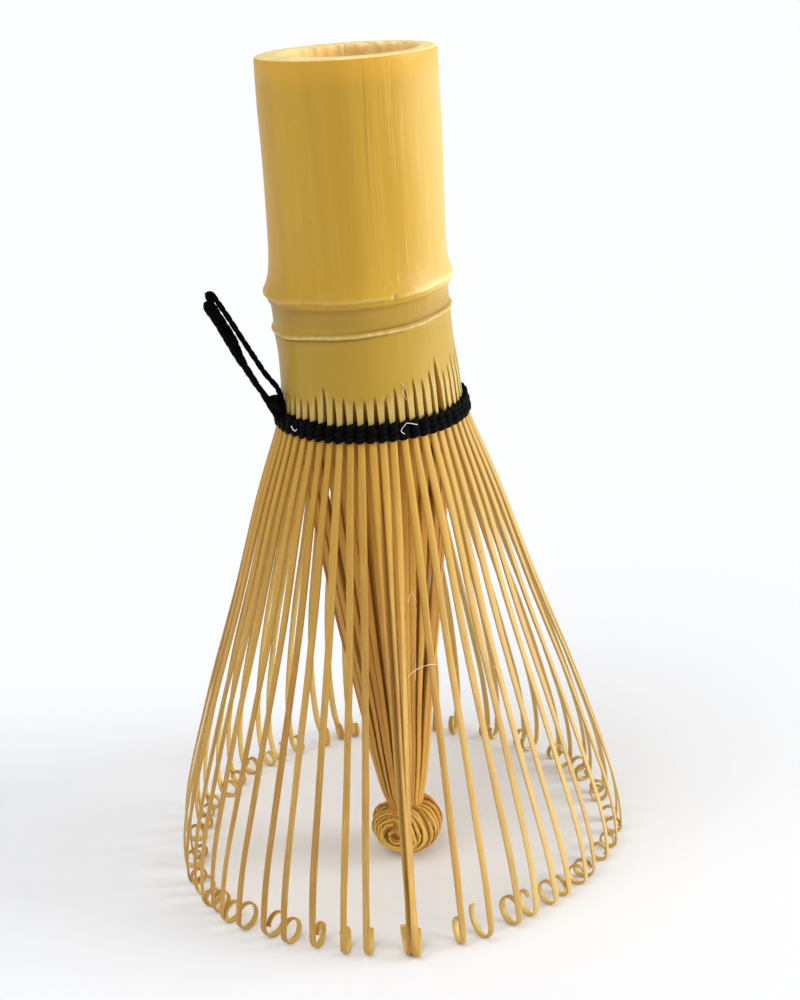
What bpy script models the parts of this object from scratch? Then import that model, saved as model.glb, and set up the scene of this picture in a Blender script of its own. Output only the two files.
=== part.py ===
# A bamboo tea whisk standing on its tines. One length of bamboo culm is the handle, and its lower
# end is split into an outer and an inner ring of fine tines, which a black thread holds apart.
# Metres, +Z up. The origin is on the ground under the middle of the culm.
import math

import bmesh
import bpy
from mathutils import Matrix, Vector

# Heights above the ground
whisk_height = 0.110
septum_height = 0.0820
node_height = 0.0814
scar_height = 0.0768
waist_height = 0.0730
split_height = 0.0668
thread_top_height = 0.0658
thread_bottom_height = 0.0636

# Culm
rim_radius = 0.0113
rim_edge = 0.0004
bore_radius = 0.0079
node_swell = 0.00075
node_reach = 0.0030
node_lean = 0.042
scar_swell = 0.00035
scar_width = 0.0006
scar_lean = 0.075
waist_radius = 0.01140
foot_radius = 0.01190
foot_wall = 0.0022
hollow_radius = 0.0083
septum_thickness = 0.0030
slit_length = 0.0030
slit_width = 0.00045

# Outer tines
outer_groups = 14
tines_per_group = 4
tine_width = 0.00088
tine_root_thickness = 0.00062
tine_tip_thickness = 0.00036
root_bar_height = 0.0005
spread_radius = 0.0315
tine_lean_angle = math.radians(18.1)
tine_straight_share = 0.36
tine_shoulder_share = 0.22
curl_radius = 0.0018
curl_closing = 0.08

# Inner tines
inner_groups = 8
inner_size = 0.00052
inner_tip_size = 0.00038
waist_of_bundle_radius = 0.0028
waist_of_bundle_height = 0.0084
knob_radius = 0.0048
layer_step_at_waist = 0.00085
layer_step_at_knob = 0.0011
layer_step_at_foot = 0.0010
bundle_side_step = 0.0006
bundle_front_step = -0.0048

# Thread
thread_course = 0.00052
thread_lobe = 0.00018
loop_thread = 0.00065
knot_angle = math.radians(200)
knot_tilt = math.radians(28)
knot_size = Vector((0.0009, 0.0012, 0.0016))
thread_roundness = 0.7

# Clearance between pieces that touch on the real whisk
seat_gap = 0.0003

# Colours and roughness
culm_finish = ((0.52, 0.33, 0.11), 0.35)
outer_tine_finish = ((0.58, 0.34, 0.11), 0.45)
inner_tine_finish = ((0.42, 0.22, 0.06), 0.5)
thread_finish = ((0.01, 0.01, 0.012), 0.6)

# Detail
outer_steps = 4
curl_steps = 6
curl_step = math.radians(45)
bar_steps = 4
route_steps = 20

tine_count = outer_groups * tines_per_group
tine_pitch = math.tau / tine_count


def material(name, colour, roughness):
    made = bpy.data.materials.new(name)
    made.use_nodes = True
    shader = made.node_tree.nodes["Principled BSDF"]
    shader.inputs["Base Color"].default_value = (*colour, 1)
    shader.inputs["Roughness"].default_value = roughness
    shader.inputs["Metallic"].default_value = 0
    return made


def place(name, mesh, finish, smooth=True):
    """Puts a mesh in the scene under its name. Its finish is the colour and roughness of its own material."""
    if smooth:
        mesh.shade_smooth()
        mesh.set_sharp_from_angle(angle=math.radians(35))
    piece = bpy.data.objects.new(name, mesh)
    bpy.context.scene.collection.objects.link(piece)
    mesh.materials.clear()
    mesh.materials.append(material(name, *finish))
    return piece


def mesh_of(name, shape):
    """The finished mesh of a bmesh, facing outwards."""
    bmesh.ops.recalc_face_normals(shape, faces=shape.faces)
    mesh = bpy.data.meshes.new(name)
    shape.to_mesh(mesh)
    shape.free()
    return mesh


def helper(name, mesh):
    """A cutter or a guide, which isn't a piece of the whisk."""
    made = bpy.data.objects.new(name, mesh)
    bpy.context.scene.collection.objects.link(made)
    made.hide_render = True
    made.display_type = "WIRE"
    return made


def boolean(piece, other, operation):
    change = piece.modifiers.new(operation.lower(), "BOOLEAN")
    change.operation = operation
    change.object = other
    change.solver = "EXACT"


def realised(piece):
    """The mesh that an object has once its modifiers have run."""
    graph = bpy.context.evaluated_depsgraph_get()
    return bpy.data.meshes.new_from_object(piece.evaluated_get(graph), depsgraph=graph)


def along(start, end, share):
    return start + (end - start) * share


def smooth_share(share):
    share = min(max(share, 0.0), 1.0)
    return share * share * (3 - 2 * share)


# The culm


def culm_profile():
    """Half of the culm's section, from the top of the septum out over the rim and down to its foot."""
    septum_bottom = septum_height - septum_thickness
    return [
        (0, septum_height),
        (bore_radius, septum_height),
        (bore_radius, whisk_height - rim_edge),
        (bore_radius + rim_edge / 2, whisk_height),
        (rim_radius - rim_edge, whisk_height),
        (rim_radius, whisk_height - rim_edge),
        (rim_radius, node_height + node_reach),
        (rim_radius + node_swell * 0.35, node_height + node_reach * 0.35),
        (rim_radius + node_swell, node_height),
        (rim_radius + node_swell * 0.7, node_height - node_reach * 0.2),
        (waist_radius + node_swell * 0.15, node_height - node_reach * 0.6),
        (waist_radius, scar_height + scar_width * 1.3),
        (waist_radius + scar_swell, scar_height + scar_width / 2),
        (waist_radius + scar_swell, scar_height),
        (waist_radius, scar_height - scar_width / 2),
        (waist_radius, waist_height),
        (along(waist_radius, foot_radius, 0.25), along(waist_height, split_height, 0.5)),
        (foot_radius, split_height),
        (foot_radius - foot_wall, split_height),
        (foot_radius - foot_wall, split_height + slit_length + seat_gap),
        (hollow_radius, waist_height),
        (hollow_radius, septum_bottom),
        (0, septum_bottom),
    ]


def lean_at(height):
    """How far the rings of the node lean to one side, per metre across the culm."""
    if height >= node_height:
        return node_lean * (1 - smooth_share((height - node_height) / (2 * node_reach)))
    if height >= scar_height:
        return along(scar_lean, node_lean, (height - scar_height) / (node_height - scar_height))
    return scar_lean * (1 - smooth_share((scar_height - height) / (scar_height - waist_height)))


def culm_mesh():
    shape = bmesh.new()
    corners = [shape.verts.new((radius, 0, height)) for radius, height in culm_profile()]
    edges = [shape.edges.new(pair) for pair in zip(corners, corners[1:])]
    bmesh.ops.spin(
        shape,
        geom=corners + edges,
        cent=(0, 0, 0),
        axis=(0, 0, 1),
        angle=math.tau,
        steps=tine_count,
        use_duplicate=False,
    )
    bmesh.ops.remove_doubles(shape, verts=shape.verts, dist=1e-6)
    for corner in shape.verts:
        if math.hypot(corner.co.x, corner.co.y) > waist_radius - seat_gap:
            corner.co.z += lean_at(corner.co.z) * corner.co.x
    return mesh_of("culm", shape)


def slit_mesh():
    """One wedge for each split between two outer tines, wide at the foot and pointed at the top."""
    shape = bmesh.new()
    top = split_height + slit_length
    bottom = split_height - seat_gap
    half = slit_width / 2 * (top - bottom) / slit_length
    near = hollow_radius - seat_gap
    far = foot_radius + 4 * seat_gap
    for number in range(tine_count):
        turn = Matrix.Rotation(tine_pitch * (number + 0.5), 4, "Z")
        ends = []
        for radius in (near, far):
            triangle = [(radius, 0, top), (radius, -half, bottom), (radius, half, bottom)]
            ends.append([shape.verts.new(turn @ Vector(corner)) for corner in triangle])
        shape.faces.new(ends[0])
        shape.faces.new(reversed(ends[1]))
        for here in range(3):
            after = (here + 1) % 3
            shape.faces.new((ends[0][after], ends[0][here], ends[1][here], ends[1][after]))
    return mesh_of("slits", shape)


def make_handle():
    handle = place("handle", culm_mesh(), culm_finish)
    boolean(handle, helper("slit_cutter", slit_mesh()), "DIFFERENCE")


# Strands


def strand(shape, path, widths, thicknesses, sides):
    """A closed strip through the points of a path, with 3 or 4 sides, wide across the culm's radius."""
    rings = []
    for number, point in enumerate(path):
        before = path[max(number - 1, 0)]
        after = path[min(number + 1, len(path) - 1)]
        forward = (after - before).normalized()
        across = Vector((-path[0].y, path[0].x, 0)).normalized()
        across = (across - forward * across.dot(forward)).normalized()
        outward = forward.cross(across)
        half_width = across * widths[number] / 2
        half_thickness = outward * thicknesses[number] / 2
        corners = [
            point - half_width + half_thickness,
            point + half_width + half_thickness,
            point + half_width - half_thickness,
            point - half_width - half_thickness,
        ]
        if sides == 3:
            corners = [corners[0], corners[1], point - half_thickness]
        rings.append([shape.verts.new(corner) for corner in corners])
    for upper, lower in zip(rings, rings[1:]):
        for here in range(sides):
            after = (here + 1) % sides
            shape.faces.new((upper[here], upper[after], lower[after], lower[here]))
    shape.faces.new(reversed(rings[0]))
    shape.faces.new(rings[-1])


def root_bar(shape, inner_radius, outer_radius, top, half_angle):
    """The short arc of bamboo from which one group of tines hangs, centred on +X."""
    rings = []
    for step in range(bar_steps + 1):
        angle = along(-half_angle, half_angle, step / bar_steps)
        section = [
            (inner_radius, top - root_bar_height),
            (outer_radius, top - root_bar_height),
            (outer_radius, top),
            (inner_radius, top),
        ]
        rings.append(
            [
                shape.verts.new((radius * math.cos(angle), radius * math.sin(angle), height))
                for radius, height in section
            ]
        )
    for first, second in zip(rings, rings[1:]):
        for here in range(4):
            after = (here + 1) % 4
            shape.faces.new((first[here], first[after], second[after], second[here]))
    shape.faces.new(reversed(rings[0]))
    shape.faces.new(rings[-1])


def fused(name, bar, strands):
    """The mesh of a root bar and its strands as one solid."""
    base = helper(name + "_bar", mesh_of(name + "_bar", bar))
    hung = helper(name + "_strands", mesh_of(name + "_strands", strands))
    boolean(base, hung, "UNION")
    mesh = realised(base)
    mesh.name = name
    for used in (base, hung):
        bpy.data.objects.remove(used)
    return mesh


# Radii where the tines pass the thread: the outer tines, the inner course and the inner tines
outer_root_radius = foot_radius - tine_root_thickness / 2 + seat_gap / 3
inner_course_outer = outer_root_radius - tine_root_thickness / 2 - seat_gap * 0.85
inner_course_inner = inner_course_outer - thread_course
inner_root_radius = inner_course_inner - seat_gap * 0.85 - inner_size / 2
root_top = split_height - seat_gap
hinge_height = (thread_top_height + thread_bottom_height) / 2


def outer_path():
    """Middle line of an outer tine, as radius and height: down past the thread, out, down and round."""
    start = Vector((outer_root_radius, 0, hinge_height - seat_gap))
    shoulder_radius = spread_radius - tine_tip_thickness / 2
    # The curl's lowest facet lies flat on the ground
    curl_height = curl_radius * math.cos(curl_step / 2) + tine_tip_thickness / 2
    curl_centre = Vector((shoulder_radius - curl_radius, 0, curl_height))
    end = curl_centre + Vector((curl_radius, 0, 0))
    reach = (end - start).length
    leaving = Vector((math.sin(tine_lean_angle), 0, -math.cos(tine_lean_angle)))
    first_guide = start + leaving * reach * tine_straight_share
    last_guide = end + Vector((0, 0, reach * tine_shoulder_share))
    path = [Vector((outer_root_radius, 0, root_top - root_bar_height / 2))]
    for step in range(outer_steps + 1):
        share = step / outer_steps
        rest = 1 - share
        path.append(
            start * rest**3
            + first_guide * 3 * rest**2 * share
            + last_guide * 3 * rest * share**2
            + end * share**3
        )
    for step in range(curl_steps):
        angle = curl_step * (step + 0.5)
        radius = curl_radius * (1 - curl_closing * max(step - 2, 0))
        path.append(curl_centre + Vector((math.cos(angle), 0, -math.sin(angle))) * radius)
    return path


def taper(path, first, last, even_points=0):
    """A size at each point of a path, in step with the length run, and even over the last points."""
    run = [0.0]
    for before, after in zip(path, path[1:]):
        run.append(run[-1] + (after - before).length)
    whole = run[-1 - even_points]
    return [along(first, last, min(here / whole, 1)) for here in run]


def make_outer_tines():
    path = outer_path()
    widths = [tine_width] * len(path)
    thicknesses = taper(path, tine_root_thickness, tine_tip_thickness, curl_steps)
    strands = bmesh.new()
    for number in range(tines_per_group):
        turn = Matrix.Rotation(tine_pitch * (number - (tines_per_group - 1) / 2), 4, "Z")
        strand(strands, [turn @ point for point in path], widths, thicknesses, 4)
    bar = bmesh.new()
    half_bar = tine_root_thickness / 2 + seat_gap / 8
    half_angle = math.pi / outer_groups - seat_gap / foot_radius / 2
    root_bar(bar, outer_root_radius - half_bar, outer_root_radius + half_bar, root_top, half_angle)
    mesh = fused("outer_tines", bar, strands)
    hinge = Vector((outer_root_radius, 0, hinge_height))
    mesh.transform(Matrix.Translation(-hinge))
    for number in range(outer_groups):
        # The first tine of the first group is on +X
        angle = tine_pitch * (tines_per_group * number + (tines_per_group - 1) / 2)
        name = f"outer_tines_{number + 1:02d}"
        group = place(name, mesh.copy(), outer_tine_finish, smooth=False)
        group.location = Matrix.Rotation(angle, 3, "Z") @ hinge
        group.rotation_euler.z = angle


# The inner bundle


def bundle_centre(height):
    """The bundle's middle line, which steps to the front and a little aside on its way down."""
    share = smooth_share(1 - height / split_height)
    return Vector((bundle_side_step * share, bundle_front_step * share, height))


def inner_strands():
    """Angle at the knob, as a share of half the sector, and layer, for each strand of one sector."""
    return [(-0.75, 0), (-0.55, 1), (-0.25, 0), (0.0, 2), (0.25, 0), (0.55, 1), (0.75, 0)]


def inner_path(root_angle, end_angle, layer):
    narrow = waist_of_bundle_radius - layer_step_at_waist * layer
    wide = knob_radius - inner_tip_size / 2 - layer_step_at_knob * layer
    middle = (waist_of_bundle_height + inner_tip_size) / 2
    foot = inner_tip_size * 0.8 + layer_step_at_foot * layer
    drop = split_height - waist_of_bundle_height
    stations = [
        (0.0, inner_root_radius, root_top - root_bar_height / 2),
        (0.0, inner_root_radius, thread_bottom_height),
        (0.45, along(inner_root_radius, narrow, 0.36), waist_of_bundle_height + drop * 0.52),
        (0.8, along(inner_root_radius, narrow, 0.68), waist_of_bundle_height + drop * 0.22),
        (1.0, narrow, waist_of_bundle_height),
        (1.0, along(narrow, wide, 0.8), along(waist_of_bundle_height, middle, 0.55)),
        (1.0, wide, middle),
        (1.0, along(narrow, wide, 0.75), along(foot, middle, 0.3)),
        (1.0, narrow + seat_gap, foot),
    ]
    path = []
    for share, radius, height in stations:
        angle = along(root_angle, end_angle, share)
        offset = Vector((math.cos(angle), math.sin(angle), 0)) * radius
        path.append(bundle_centre(height) + offset)
    return path


def make_inner_tines():
    half_sector = math.pi / inner_groups
    strands_each = len(inner_strands())
    for number in range(inner_groups):
        # The inner tines hang in the gaps between the outer ones
        middle = math.tau * number / inner_groups + tine_pitch / 2
        strands = bmesh.new()
        for place_in, (end_share, layer) in enumerate(inner_strands()):
            root_share = (2 * place_in + 1) / strands_each - 1
            path = inner_path(middle + half_sector * root_share, middle + half_sector * end_share, layer)
            sizes = taper(path, inner_size, inner_tip_size)
            strand(strands, path, sizes, sizes, 3)
        bar = bmesh.new()
        half_bar = inner_size / 2 + seat_gap / 8
        half_angle = half_sector - seat_gap / inner_root_radius / 2
        root_bar(bar, inner_root_radius - half_bar, inner_root_radius + half_bar, root_top, half_angle)
        bmesh.ops.rotate(bar, verts=bar.verts, cent=(0, 0, 0), matrix=Matrix.Rotation(middle, 3, "Z"))
        name = f"inner_tines_{number + 1}"
        place(name, fused(name, bar, strands), inner_tine_finish, smooth=False)


# The thread


def course_mesh(name, sections, count):
    """A closed ring through one section for each step round the whisk."""
    shape = bmesh.new()
    rings = []
    for step in range(count):
        angle = math.tau * step / count
        turn = Matrix.Rotation(angle, 4, "Z")
        rings.append([shape.verts.new(turn @ Vector((r, 0, z))) for r, z in sections(step)])
    for step, ring in enumerate(rings):
        following = rings[(step + 1) % count]
        for here in range(len(ring)):
            after = (here + 1) % len(ring)
            shape.faces.new((ring[here], ring[after], following[after], following[here]))
    return mesh_of(name, shape)


def outer_course_section(step):
    """The thread outside the tines follows their slope, and bulges over each tine."""
    first_bend = outer_path()[2]
    slope = (first_bend.x - outer_root_radius) / (hinge_height - first_bend.z)
    low_step = slope * (hinge_height - seat_gap - thread_bottom_height)
    top_radius = outer_root_radius + tine_root_thickness / 2 + seat_gap
    bottom_radius = top_radius + low_step
    bulge = thread_course - thread_lobe if step % 2 else thread_course
    return [
        (top_radius, thread_top_height),
        (bottom_radius, thread_bottom_height),
        (bottom_radius + bulge * thread_roundness, thread_bottom_height),
        ((top_radius + bottom_radius) / 2 + bulge, hinge_height),
        (top_radius + bulge * thread_roundness, thread_top_height),
    ]


def inner_course_section(step):
    """The thread between the outer and the inner tines is a plain ring at every step."""
    return [
        (inner_course_inner, thread_top_height),
        (inner_course_inner, thread_bottom_height),
        (inner_course_outer, thread_bottom_height),
        (inner_course_outer, thread_top_height),
    ]


def make_courses():
    outer = course_mesh("binding_thread_outer", outer_course_section, 2 * tine_count)
    place("binding_thread_outer", outer, thread_finish)
    inner = course_mesh("binding_thread_inner", inner_course_section, tine_count)
    place("binding_thread_inner", inner, thread_finish)


def knot_centre():
    radius = foot_radius + 2 * seat_gap + knot_size.x
    height = thread_top_height + seat_gap + knot_size.z
    return Vector((radius * math.cos(knot_angle), radius * math.sin(knot_angle), height))


def make_knot():
    shape = bmesh.new()
    bmesh.ops.create_icosphere(shape, subdivisions=2, radius=1)
    bmesh.ops.scale(shape, verts=shape.verts, vec=knot_size)
    bmesh.ops.rotate(shape, verts=shape.verts, cent=(0, 0, 0), matrix=Matrix.Rotation(-knot_tilt, 3, "Y"))
    bmesh.ops.translate(shape, verts=shape.verts, vec=knot_centre())
    place("thread_knot", mesh_of("thread_knot", shape), thread_finish)


# Middle line of the thread that stands up from the knot in two narrow loops, from one end to the
# other, as distances from the middle of the knot
loop_route = [
    (0.00062, 0.00058, 0.00150),
    (-0.00009, 0.00058, 0.00248),
    (-0.00082, 0.00058, 0.00357),
    (-0.00200, 0.00058, 0.00581),
    (-0.00320, 0.00058, 0.00811),
    (-0.00475, 0.00058, 0.01115),
    (-0.00585, 0.00058, 0.01314),
    (-0.00637, 0.00058, 0.01401),
    (-0.00674, 0.00058, 0.01424),
    (-0.00699, 0.00058, 0.01396),
    (-0.00648, 0.00058, 0.01282),
    (-0.00569, 0.00058, 0.01119),
    (-0.00425, 0.00058, 0.00830),
    (-0.00370, 0.00058, 0.00645),
    (-0.00308, 0.00058, 0.00456),
    (-0.00232, 0.00058, 0.00296),
    (-0.00188, 0.00058, 0.00198),
    (-0.00158, 0.00045, 0.00152),
    (-0.00148, 0.00020, 0.00138),
    (-0.00162, -0.00006, 0.00162),
    (-0.00206, -0.00014, 0.00242),
    (-0.00310, -0.00014, 0.00441),
    (-0.00411, -0.00014, 0.00665),
    (-0.00504, -0.00014, 0.00899),
    (-0.00605, -0.00014, 0.01144),
    (-0.00659, -0.00014, 0.01252),
    (-0.00690, -0.00028, 0.01301),
    (-0.00711, -0.00052, 0.01312),
    (-0.00719, -0.00076, 0.01283),
    (-0.00685, -0.00086, 0.01215),
    (-0.00598, -0.00086, 0.01055),
    (-0.00479, -0.00086, 0.00797),
    (-0.00369, -0.00086, 0.00570),
    (-0.00244, -0.00080, 0.00365),
    (-0.00167, -0.00074, 0.00221),
    (-0.00131, -0.00072, 0.00140),
]


def smooth_route(route, spacing):
    """Points at an even spacing along the smooth curve through a route's points."""
    points = [Vector(point) for point in route]
    padded = [2 * points[0] - points[1]] + points + [2 * points[-1] - points[-2]]
    fine = []
    for first, second, third, fourth in zip(padded, padded[1:], padded[2:], padded[3:]):
        for step in range(route_steps):
            t = step / route_steps
            fine.append(
                0.5
                * (
                    2 * second
                    + (third - first) * t
                    + (2 * first - 5 * second + 4 * third - fourth) * t**2
                    + (3 * second - first - 3 * third + fourth) * t**3
                )
            )
    fine.append(points[-1])
    run = [0.0]
    for before, after in zip(fine, fine[1:]):
        run.append(run[-1] + (after - before).length)
    count = max(2, round(run[-1] / spacing))
    even = []
    for step in range(count + 1):
        wanted = run[-1] * step / count
        index = max(i for i, here in enumerate(run) if here <= wanted + 1e-12)
        if index == len(fine) - 1:
            even.append(fine[-1])
        else:
            part = (wanted - run[index]) / (run[index + 1] - run[index])
            even.append(along(fine[index], fine[index + 1], part))
    return even


def make_loop(name):
    curve = bpy.data.curves.new(name, "CURVE")
    curve.dimensions = "3D"
    curve.bevel_depth = loop_thread / 2
    curve.bevel_resolution = 2
    curve.use_fill_caps = True
    knot = knot_centre()
    points = [knot + point for point in smooth_route(loop_route, 2.2 * loop_thread)]
    spline = curve.splines.new("POLY")
    spline.points.add(len(points) - 1)
    for target, point in zip(spline.points, points):
        target.co = (*point, 1)
    loop = bpy.data.objects.new(name, curve)
    bpy.context.scene.collection.objects.link(loop)
    curve.materials.append(material(name, *thread_finish))
    run = sum((after - before).length for before, after in zip(points, points[1:]))
    print(name, "length", round(run, 4))


for old in list(bpy.data.objects):
    bpy.data.objects.remove(old)
make_handle()
make_outer_tines()
make_inner_tines()
make_courses()
make_knot()
make_loop("thread_loop")
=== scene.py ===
# A bamboo tea whisk standing on its curled tines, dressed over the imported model.
# Metres, +Z up. The photographed side faces -Y and the thread loop stands out on the -X side.
import random
from math import acos, asin, atan2, copysign, cos, dist, exp, hypot, pi, radians, sin, sqrt, tau
from math import floor as roundDown

import bpy
from mathutils import Matrix, Vector, noise


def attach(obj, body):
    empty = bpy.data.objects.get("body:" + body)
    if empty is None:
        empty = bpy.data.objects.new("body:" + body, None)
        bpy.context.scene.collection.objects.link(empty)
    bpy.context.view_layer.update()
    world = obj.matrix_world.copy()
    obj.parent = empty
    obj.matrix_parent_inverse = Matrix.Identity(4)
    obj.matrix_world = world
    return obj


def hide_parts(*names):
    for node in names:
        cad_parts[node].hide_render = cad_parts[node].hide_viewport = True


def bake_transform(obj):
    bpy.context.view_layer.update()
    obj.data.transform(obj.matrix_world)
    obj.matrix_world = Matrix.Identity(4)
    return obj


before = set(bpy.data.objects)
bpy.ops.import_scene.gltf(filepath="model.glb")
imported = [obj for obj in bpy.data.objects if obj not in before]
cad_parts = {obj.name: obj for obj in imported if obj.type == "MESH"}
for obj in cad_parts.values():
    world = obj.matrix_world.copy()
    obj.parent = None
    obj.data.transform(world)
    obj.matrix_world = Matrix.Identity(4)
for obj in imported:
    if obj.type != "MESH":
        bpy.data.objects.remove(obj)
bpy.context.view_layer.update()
bpy.ops.object.select_all(action="DESELECT")
mm = 0.001
tineCount = 56
groupSize = 4
pitch = tau / tineCount
frontAngle = -pi / 2  # the tine numbered 0 stands here
frontPlace = 42  # its place when the tines are counted from +X
tineStart = 65.27  # height in millimetres, inside the thread


def along(start, end, share):
    return start + (end - start) * share


def easeShare(share):
    share = min(max(share, 0.0), 1.0)
    return share * share * (3 - 2 * share)


def readTable(table, place):
    # a value between the rows of a table of (place, value), whose places go down
    for (high, first), (low, second) in zip(table, table[1:]):
        if place >= low:
            return along(first, second, min(max((high - place) / (high - low), 0.0), 1.0))
    return table[-1][1]


def bell(value, middle, width):
    # 1 at the middle, and near 0 two widths away from it
    return exp(-((value - middle) / width) ** 2)


def roundNoise(angle, lumps, seed):
    # chance that closes on itself round the culm
    return noise.noise(Vector((cos(angle) * lumps, sin(angle) * lumps, seed)))


def atAngle(angle, radius=1.0, height=0.0):
    return Vector((radius * cos(angle), radius * sin(angle), height))


def distances(route):
    # how far along the route each of its points is
    run = [0.0]
    for before, after in zip(route, route[1:]):
        run.append(run[-1] + (after - before).length)
    return run


def routeShares(route):
    # the same distances as shares of the whole
    run = distances(route)
    return [here / run[-1] for here in run]


def smoothRoute(points, spacing):
    # evenly spaced points on the smooth curve through the given ones
    points = [Vector(point) for point in points]
    padded = [2 * points[0] - points[1]] + points + [2 * points[-1] - points[-2]]
    fine = []
    for a, b, c, d in zip(padded, padded[1:], padded[2:], padded[3:]):
        for step in range(20):
            t = step / 20
            fine.append(0.5 * (2 * b + (c - a) * t + (2 * a - 5 * b + 4 * c - d) * t**2
                               + (3 * b - a - 3 * c + d) * t**3))
    fine.append(points[-1])
    run = distances(fine)
    count = max(2, round(run[-1] / spacing))
    even, index = [], 0
    for step in range(count):
        wanted = run[-1] * step / count
        while run[index + 1] < wanted:
            index += 1
        share = (wanted - run[index]) / (run[index + 1] - run[index])
        even.append(fine[index].lerp(fine[index + 1], share))
    return even + [fine[-1]]


# Camera

cameraSettings = {
    "place": Vector((0, -204.3 * mm, 127.5 * mm)),
    "turnRound": radians(1.29),  # round the whisk
    "yaw": 0.0138,
    "down": 0.358,
    "roll": -0.068,
    "lens": 58.34,
}


def makeCamera():
    bpy.ops.object.camera_add()
    camera = bpy.context.object
    camera.name = "photoCamera"
    turn = Matrix.Rotation(cameraSettings["turnRound"], 4, "Z")
    aim = (Matrix.Rotation(-cameraSettings["yaw"], 4, "Z")
           @ Matrix.Rotation(pi / 2 - cameraSettings["down"], 4, "X")
           @ Matrix.Rotation(cameraSettings["roll"], 4, "Z"))
    camera.matrix_world = turn @ Matrix.Translation(cameraSettings["place"]) @ aim
    camera.data.lens = cameraSettings["lens"]
    camera.data.sensor_width = 36
    camera.data.clip_start = 0.01
    bpy.context.scene.camera = camera


makeCamera()
print("camera placed")


# Materials


class Value:
    # a socket that can be calculated with
    def __init__(self, finish, socket):
        self.finish = finish
        self.socket = socket

    def __add__(self, other):
        return self.finish.maths("ADD", self, other)

    def __mul__(self, other):
        return self.finish.maths("MULTIPLY", self, other)

    __radd__ = __add__
    __rmul__ = __mul__


class Finish:
    # one material, built from nodes
    def __init__(self, name):
        self.material = bpy.data.materials.new(name)
        self.material.use_nodes = True
        self.tree = self.material.node_tree
        self.shader = self.tree.nodes["Principled BSDF"]

    def feed(self, socket, value):
        if isinstance(value, Value):
            self.tree.links.new(value.socket, socket)
        else:
            socket.default_value = value

    def node(self, kind, settings, inputs, output=0):
        made = self.tree.nodes.new(kind)
        for name, setting in settings.items():
            setattr(made, name, setting)
        for name, value in inputs.items():
            self.feed(made.inputs[name], value)
        return Value(self, made.outputs[output])

    def maths(self, operation, *values):
        return self.node("ShaderNodeMath", {"operation": operation}, dict(enumerate(values)))

    def coordinates(self, kind="Object", scale=(1, 1, 1), turn=0.0):
        whole = self.node("ShaderNodeTexCoord", {}, {}, kind)
        return self.node("ShaderNodeMapping", {}, {"Vector": whole, "Scale": scale, "Rotation": (0, 0, turn)})

    def axis(self, letter):
        # the distance along X or Z, in metres
        return self.node("ShaderNodeSeparateXYZ", {}, {"Vector": self.coordinates()}, letter)

    def noise(self, place, scale, detail=3.0, roughness=0.5):
        return self.node("ShaderNodeTexNoise", {}, {
            "Vector": place, "Scale": scale, "Detail": detail, "Roughness": roughness})

    def between(self, value, low, high):
        # 0 below the low mark and 1 above the high one
        return self.node("ShaderNodeMapRange", {"interpolation_type": "SMOOTHSTEP"}, {
            "Value": value, "From Min": low, "From Max": high})

    def mix(self, share, first, second):
        first, second = ((*c, 1) if isinstance(c, tuple) and len(c) == 3 else c for c in (first, second))
        return self.node("ShaderNodeMix", {"data_type": "RGBA"}, {0: share, 6: first, 7: second}, 2)

    def layers(self, colour, table, coats):
        # coats are laid one over the other, each with its share and the name of its colour
        for share, name in coats:
            colour = self.mix(share, colour, table[name])
        return colour

    def attribute(self, name):
        return self.node("ShaderNodeAttribute", {"attribute_name": name}, {}, "Fac")

    def surface(self, colour, roughness, height=None, depth=0.00002, **others):
        self.feed(self.shader.inputs["Base Color"], colour)
        self.feed(self.shader.inputs["Roughness"], roughness)
        if height is not None:
            bump = self.node("ShaderNodeBump", {}, {
                "Height": height, "Distance": depth, "Strength": 1.0}, "Normal")
            self.feed(self.shader.inputs["Normal"], bump)
        for name, value in others.items():
            self.feed(self.shader.inputs[name.replace("_", " ")], value)
        return self.material


culmColours = {
    "gold": (0.545, 0.318, 0.029),
    "light": (0.70, 0.455, 0.10),
    "deep": (0.495, 0.280, 0.022),
    "olive": (0.40, 0.250, 0.025),
    "paintedRightLight": (0.79, 0.615, 0.235),
    "hollowShade": (0.33, 0.19, 0.030),
    "fleck": (0.16, 0.07, 0.02),
    "line": (0.34, 0.17, 0.015),
    "rubbed": (0.72, 0.37, 0.03),
    "cream": (0.93, 0.76, 0.36),
    "pith": (0.86, 0.65, 0.26),
    "bundle": (0.60, 0.36, 0.10),
    "bore": (0.88, 0.58, 0.20),
    "boreLight": (0.94, 0.70, 0.32),
    "boreDark": (0.66, 0.36, 0.10),
    "split": (0.36, 0.16, 0.018),
    "scarEdge": (0.14, 0.06, 0.012),
}


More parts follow.
